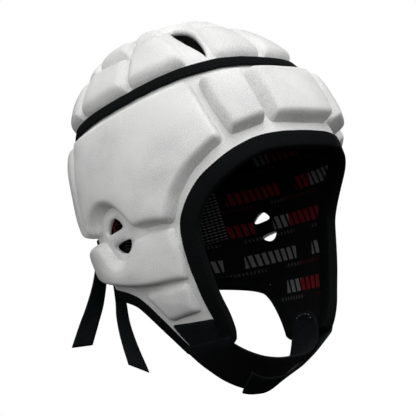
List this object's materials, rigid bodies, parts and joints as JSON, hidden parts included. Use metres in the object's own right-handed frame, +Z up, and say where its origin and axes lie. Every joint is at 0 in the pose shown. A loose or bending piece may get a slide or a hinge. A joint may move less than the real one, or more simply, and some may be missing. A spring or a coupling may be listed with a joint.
{
  "type": "flag football headgear",
  "caption": "Soft padded sports headgear with raised foam pads, bound face opening, ear vents, hook-and-loop chin strap and nape tapes.",
  "frame": {"origin": "inside of the crown's lining at its apex, where the top of the wearer's head meets it", "axes": "+Z up, -Y to the front (the way the face looks), +X to the wearer's left, with the head upright"},
  "size_m": [0.1896, 0.2055, 0.2703],
  "materials": {
    "white_laminated_knit": "fine diagonal knit, matt",
    "white_pad_knit": "fine diagonal knit over foam, matt",
    "black_lining_knit": "smooth stretch knit, matt",
    "black_ribbed_binding": "ribbed woven binding",
    "black_brushed_loop": "brushed loop pile",
    "black_hook_tape": "moulded hook pile",
    "black_flat_tape": "smooth flat woven tape"
  },
  "bodies": {
    "shell": {"adjust_tape_lower": "black_flat_tape", "adjust_tape_upper": "black_flat_tape", "cheek_pad_left": "white_pad_knit", "cheek_pad_right": "white_pad_knit", "crown_lining": "black_lining_knit", "crown_pad_left_1": "white_pad_knit", "crown_pad_left_2": "white_pad_knit", "crown_pad_left_3": "white_pad_knit", "crown_pad_left_4": "white_pad_knit", "crown_pad_right_1": "white_pad_knit", "crown_pad_right_2": "white_pad_knit", "crown_pad_right_3": "white_pad_knit", "crown_pad_right_4": "white_pad_knit", "crown_ring": "black_ribbed_binding", "crown_shell": "white_laminated_knit", "face_binding": "black_ribbed_binding", "front_pad": "white_pad_knit", "hem_binding_left": "black_ribbed_binding", "hem_binding_right": "black_ribbed_binding", "hook_strap_anchor": "black_flat_tape", "jaw_pad_left": "white_pad_knit", "jaw_pad_right": "white_pad_knit", "keeper_lower": "black_flat_tape", "keeper_upper": "black_flat_tape", "loop_panel": "black_brushed_loop", "rear_pad_left": "white_pad_knit", "rear_pad_right": "white_pad_knit", "side_pad_left": "white_pad_knit", "side_pad_right": "white_pad_knit", "temple_pad_left": "white_pad_knit", "temple_pad_right": "white_pad_knit", "top_pad": "white_pad_knit", "upper_pad_left_1": "white_pad_knit", "upper_pad_left_2": "white_pad_knit", "upper_pad_left_3": "white_pad_knit", "upper_pad_right_1": "white_pad_knit", "upper_pad_right_2": "white_pad_knit", "upper_pad_right_3": "white_pad_knit", "wrap_lining": "black_lining_knit", "wrap_shell": "white_laminated_knit"},
    "hook_strap": {"hook_strap": "black_flat_tape", "hook_tape": "black_hook_tape"},
    "loop_strap": {"loop_strap": "black_brushed_loop"},
    "tape_tail_upper": {"tape_tail_upper": "black_flat_tape"},
    "tape_tail_lower": {"tape_tail_lower": "black_flat_tape"}
  },
  "joints": [
    {"name": "hook_strap_open", "type": "hinge", "parent": "shell", "child": "hook_strap", "pos_m": [0.05817, -0.04743, -0.21733], "axis": [-0.0832, -0.9943, 0.0672], "range_deg": [0, 105]},
    {"name": "loop_strap_open", "type": "hinge", "parent": "shell", "child": "loop_strap", "pos_m": [-0.05817, -0.04743, -0.21733], "axis": [-0.0832, 0.9943, -0.0672], "range_deg": [0, 27]},
    {"name": "tape_tail_upper_swing", "type": "hinge", "parent": "shell", "child": "tape_tail_upper", "pos_m": [-0.04752, 0.05044, -0.13524], "axis": [0.9015, 0.4249, -0.0816], "range_deg": [-5, 50]},
    {"name": "tape_tail_lower_swing", "type": "hinge", "parent": "shell", "child": "tape_tail_lower", "pos_m": [-0.03275, 0.05247, -0.15169], "axis": [0.9664, 0.2532, -0.0437], "range_deg": [-5, 15]}
  ],
  "couplings": [
    {"joint": "loop_strap_open", "follows": "hook_strap_open", "ratio": 0.25}
  ]
}
